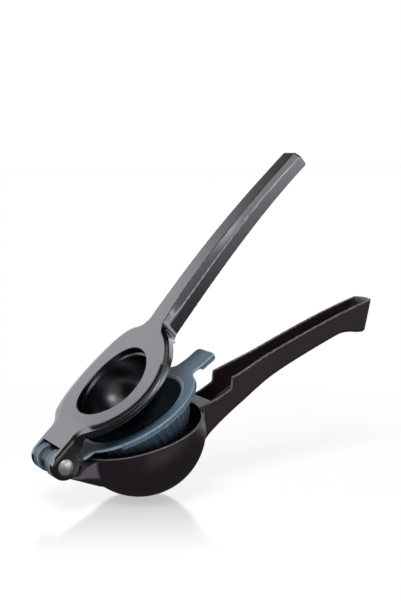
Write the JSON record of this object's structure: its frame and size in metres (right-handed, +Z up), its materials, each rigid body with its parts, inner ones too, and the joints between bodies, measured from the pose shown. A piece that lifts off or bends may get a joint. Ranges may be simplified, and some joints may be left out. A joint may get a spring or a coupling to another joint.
{
  "type": "hinged lemon squeezer",
  "caption": "Hand-held lemon squeezer: a round bowl on a channel handle, a swing-out strainer cup and a domed press arm, all turning on one pin.",
  "frame": {"origin": "the lowest point of the bowl's underside is at z = 0, straight below the bowl's centre at x = 0, y = 0", "axes": "+X from the bowl towards the handles, +Z up as the squeezer stands on its bowl with the handles raised, +Y along the hinge pin, to the left of someone looking along +X; y = 0 is the middle plane"},
  "size_m": [0.2134, 0.0786, 0.1885],
  "materials": {
    "dark_enamel": "brown-black satin enamel on die-cast aluminium",
    "grey_enamel": "grey metallic satin enamel on die-cast aluminium, glossy in the dome",
    "blue_grey_plastic": "blue-grey glass-filled nylon, satin",
    "polished_steel": "polished stainless steel"
  },
  "bodies": {
    "lower": {"lower_arm": "dark_enamel"},
    "strainer": {"strainer_cup": "blue_grey_plastic"},
    "press": {"press_arm": "grey_enamel", "hinge_pin": "polished_steel", "pin_cap": "polished_steel"}
  },
  "joints": [
    {"name": "strainer_hinge", "type": "hinge", "parent": "lower", "child": "strainer", "pos_m": [-0.05054, 0, 0.02659], "axis": [0, -1, 0], "range_deg": [-12.1, 40]},
    {"name": "press_hinge", "type": "hinge", "parent": "strainer", "child": "press", "pos_m": [-0.05054, 0, 0.02659], "axis": [0, -1, 0], "range_deg": [-12.4, 85]}
  ]
}
